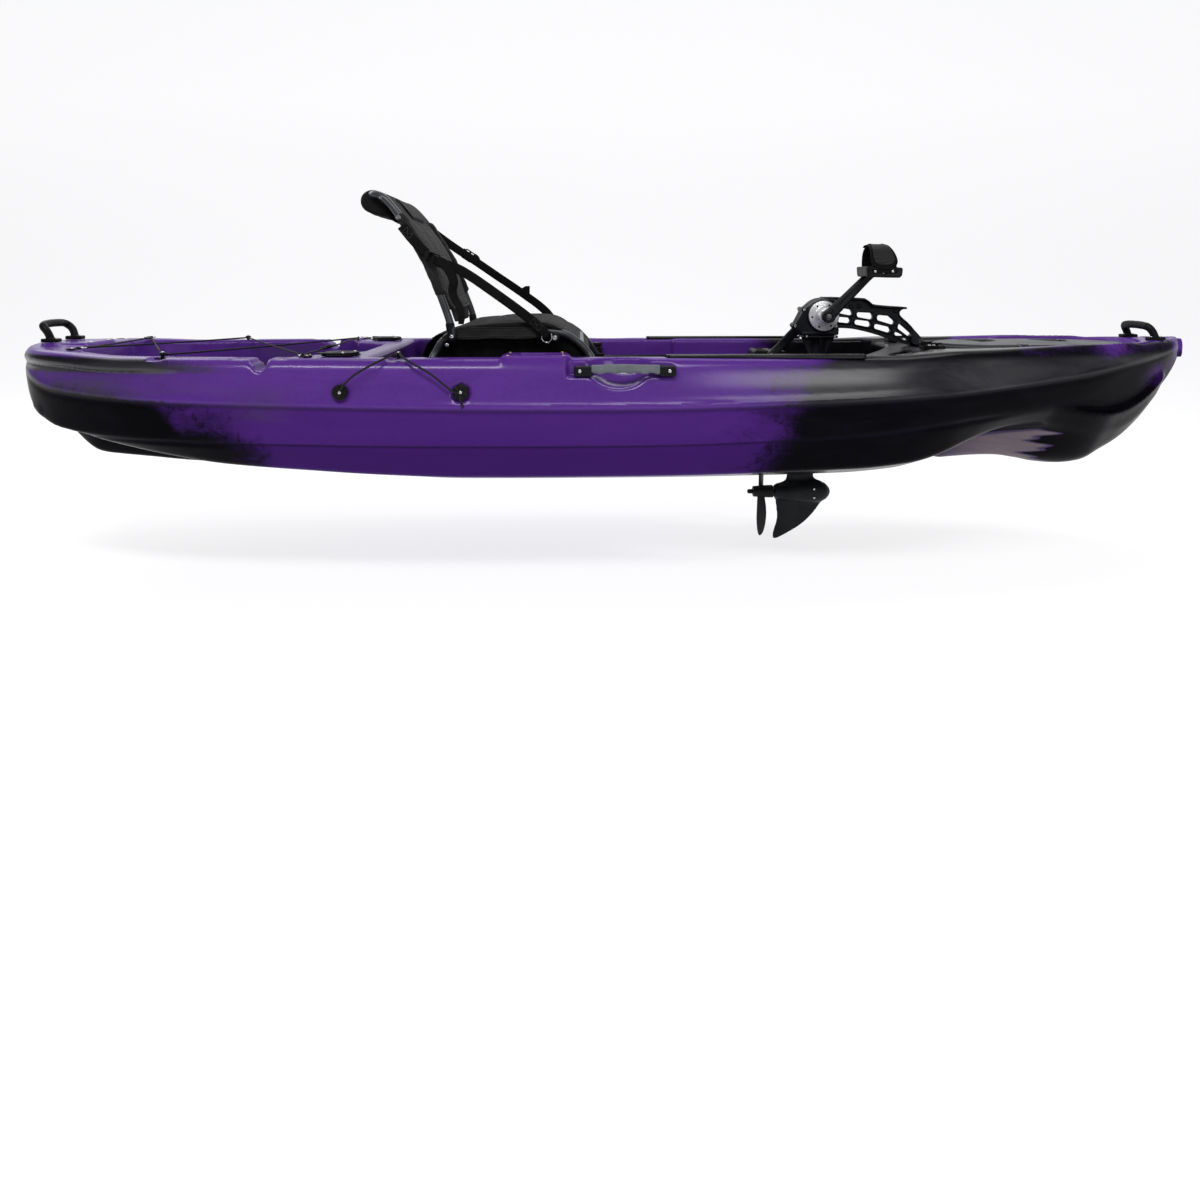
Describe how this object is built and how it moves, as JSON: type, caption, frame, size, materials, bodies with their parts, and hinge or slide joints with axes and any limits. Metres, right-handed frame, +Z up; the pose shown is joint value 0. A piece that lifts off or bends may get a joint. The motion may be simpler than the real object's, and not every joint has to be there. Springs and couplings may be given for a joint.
{
  "type": "pedal-driven sit-on-top fishing kayak",
  "caption": "Sit-on-top fishing kayak with a framed seat, a tilting pedal drive with propeller, hatches, gear tracks, rod holders and a laced tank well.",
  "frame": {"origin": "on the flat of the hull bottom, on the centre plane, at the middle of the hull's length", "axes": "+X towards the bow along the hull, +Y to port, +Z up"},
  "size_m": [3.1759, 0.839, 0.963],
  "materials": {
    "hull": "marbled moulded polyethylene, glossy outside and duller inside the wells",
    "deck_foam": "fine closed-cell foam sheet, matt",
    "black_plastic": "moulded nylon, satin",
    "cap_rubber": "soft rubber, satin",
    "grip_rubber": "grey over-moulded grip on black ends",
    "track_aluminium": "black anodised extrusion",
    "hatch_plastic": "fine-grained dark grey moulding",
    "drive_casting": "black powder coat, satin",
    "steel": "stainless steel",
    "shock_cord": "braided cord sheath",
    "seat_tube": "dark grey powder-coated tube",
    "seat_fabric": "dense woven sling fabric, padded",
    "webbing": "black polypropylene webbing"
  },
  "bodies": {
    "kayak": {"hull": "hull", "rear_pad_port": "deck_foam", "rear_pad_starboard": "deck_foam", "front_pad_port": "deck_foam", "front_pad_starboard": "deck_foam", "bow_handle": "black_plastic", "stern_handle": "black_plastic", "rod_holder_port": "black_plastic", "rod_holder_starboard": "black_plastic", "rod_mount_plate": "black_plastic", "stern_cover": "black_plastic", "rod_latch_port_base": "black_plastic", "rod_latch_starboard_base": "black_plastic", "console_latch_base": "black_plastic", "side_handle_port": "grip_rubber", "side_handle_starboard": "grip_rubber", "gear_track_port": "track_aluminium", "gear_track_starboard": "track_aluminium", "seat_track_port": "track_aluminium", "seat_track_starboard": "track_aluminium", "bow_hatch_rim": "hatch_plastic", "floor_hatch_rim": "hatch_plastic", "tie_down_rear_port": "steel", "tie_down_rear_starboard": "steel", "tie_down_front_port": "steel", "tie_down_front_starboard": "steel", "tank_well_bungee": "shock_cord", "paddle_keeper_port": "shock_cord", "paddle_keeper_starboard": "shock_cord"},
    "drive": {"drive_arm": "drive_casting", "gear_case": "drive_casting", "drive_leg": "drive_casting"},
    "cranks": {"crank_axle": "steel", "crank_arm_port": "drive_casting", "crank_arm_starboard": "drive_casting"},
    "pedal_port": {"pedal_port": "black_plastic"},
    "pedal_starboard": {"pedal_starboard": "black_plastic"},
    "drive_shaft": {"drive_shaft": "steel"},
    "propeller": {"propeller": "black_plastic"},
    "bow_lid": {"bow_hatch_lid": "hatch_plastic"},
    "bow_latch_aft": {"bow_latch_aft": "hatch_plastic"},
    "bow_latch_fore": {"bow_latch_fore": "hatch_plastic"},
    "floor_lid": {"floor_hatch_lid": "hatch_plastic"},
    "floor_latch": {"floor_hatch_latch": "hatch_plastic"},
    "rod_latch_port": {"rod_latch_port_tongue": "black_plastic"},
    "rod_latch_starboard": {"rod_latch_starboard_tongue": "black_plastic"},
    "console_latch": {"console_latch_tongue": "black_plastic"},
    "rod_cap_port": {"rod_holder_cap_port": "cap_rubber"},
    "rod_cap_starboard": {"rod_holder_cap_starboard": "cap_rubber"},
    "cam_lever": {"mount_cam_lever": "black_plastic"},
    "seat": {"seat_frame": "seat_tube", "seat_pan": "seat_fabric", "seat_strap_port": "webbing", "seat_strap_starboard": "webbing"},
    "seat_back": {"seat_back_frame": "seat_tube", "seat_back_fabric": "seat_fabric"},
    "clamp_knob_port": {"clamp_knob_port": "black_plastic"},
    "clamp_knob_starboard": {"clamp_knob_starboard": "black_plastic"}
  },
  "joints": [
    {"name": "drive_tilt", "type": "hinge", "parent": "kayak", "child": "drive", "pos_m": [0.838, 0, 0.3505], "axis": [0, 1, 0], "range_deg": [0, 60]},
    {"name": "crank_spin", "type": "hinge", "parent": "drive", "child": "cranks", "pos_m": [0.56, 0, 0.43], "axis": [0, 1, 0], "continuous": true},
    {"name": "pedal_spin_starboard", "type": "hinge", "parent": "cranks", "child": "pedal_starboard", "pos_m": [0.68021, -0.143, 0.55021], "axis": [0, 1, 0], "continuous": true},
    {"name": "pedal_spin_port", "type": "hinge", "parent": "cranks", "child": "pedal_port", "pos_m": [0.43979, 0.143, 0.30979], "axis": [0, 1, 0], "continuous": true},
    {"name": "shaft_spin", "type": "hinge", "parent": "drive", "child": "drive_shaft", "pos_m": [0.509, 0, 0], "axis": [0.126, 0, 0.992], "continuous": true},
    {"name": "propeller_spin", "type": "hinge", "parent": "drive", "child": "propeller", "pos_m": [0.394, 0, -0.062], "axis": [1, 0, 0], "continuous": true},
    {"name": "bow_lid_hinge", "type": "hinge", "parent": "kayak", "child": "bow_lid", "pos_m": [1.147, -0.121, 0.3515], "axis": [-1, 0, 0], "range_deg": [-105, 0]},
    {"name": "bow_latch_aft_turn", "type": "hinge", "parent": "bow_lid", "child": "bow_latch_aft", "pos_m": [1.003, 0.088, 0.35], "axis": [0, 0, -1], "range_deg": [0, 80]},
    {"name": "bow_latch_fore_turn", "type": "hinge", "parent": "bow_lid", "child": "bow_latch_fore", "pos_m": [1.289, 0.088, 0.35], "axis": [0, 0, 1], "range_deg": [0, 80]},
    {"name": "floor_lid_hinge", "type": "hinge", "parent": "kayak", "child": "floor_lid", "pos_m": [-0.437, 0, 0.1204], "axis": [0, -1, 0], "range_deg": [0, 95]},
    {"name": "floor_latch_turn", "type": "hinge", "parent": "floor_lid", "child": "floor_latch", "pos_m": [-0.268, 0, 0.121], "axis": [0, 0, 1], "range_deg": [0, 85]},
    {"name": "rod_latch_port_slide", "type": "slide", "parent": "kayak", "child": "rod_latch_port", "axis": [-1, 0, 0], "range_m": [0, 0.022]},
    {"name": "rod_latch_starboard_slide", "type": "slide", "parent": "kayak", "child": "rod_latch_starboard", "axis": [-1, 0, 0], "range_m": [0, 0.022]},
    {"name": "console_latch_slide", "type": "slide", "parent": "kayak", "child": "console_latch", "axis": [-1, 0, 0], "range_m": [0, 0.018]},
    {"name": "rod_cap_port_hinge", "type": "hinge", "parent": "kayak", "child": "rod_cap_port", "pos_m": [-0.6575, 0.268, 0.349], "axis": [0, 1, 0], "range_deg": [0, 100]},
    {"name": "rod_cap_starboard_hinge", "type": "hinge", "parent": "kayak", "child": "rod_cap_starboard", "pos_m": [-0.6575, -0.268, 0.349], "axis": [0, 1, 0], "range_deg": [0, 100]},
    {"name": "cam_lever_turn", "type": "hinge", "parent": "kayak", "child": "cam_lever", "pos_m": [-0.2295, 0.342, 0.35], "axis": [0, 0, 1], "range_deg": [0, 120]},
    {"name": "seat_slide", "type": "slide", "parent": "kayak", "child": "seat", "axis": [1, 0, 0], "range_m": [-0.03, 0.08]},
    {"name": "seat_back_fold", "type": "hinge", "parent": "seat", "child": "seat_back", "pos_m": [-0.433, 0, 0.388], "axis": [0, 1, 0], "range_deg": [0, 75], "deforming": ["seat_strap_port", "seat_strap_starboard"]},
    {"name": "clamp_knob_port_turn", "type": "hinge", "parent": "seat", "child": "clamp_knob_port", "pos_m": [-0.06, 0.288, 0.33], "axis": [0, 0, 1], "continuous": true},
    {"name": "clamp_knob_starboard_turn", "type": "hinge", "parent": "seat", "child": "clamp_knob_starboard", "pos_m": [-0.06, -0.288, 0.33], "axis": [0, 0, 1], "continuous": true}
  ],
  "couplings": [
    {"joint": "shaft_spin", "follows": "crank_spin", "ratio": 4},
    {"joint": "propeller_spin", "follows": "crank_spin", "ratio": 10}
  ]
}
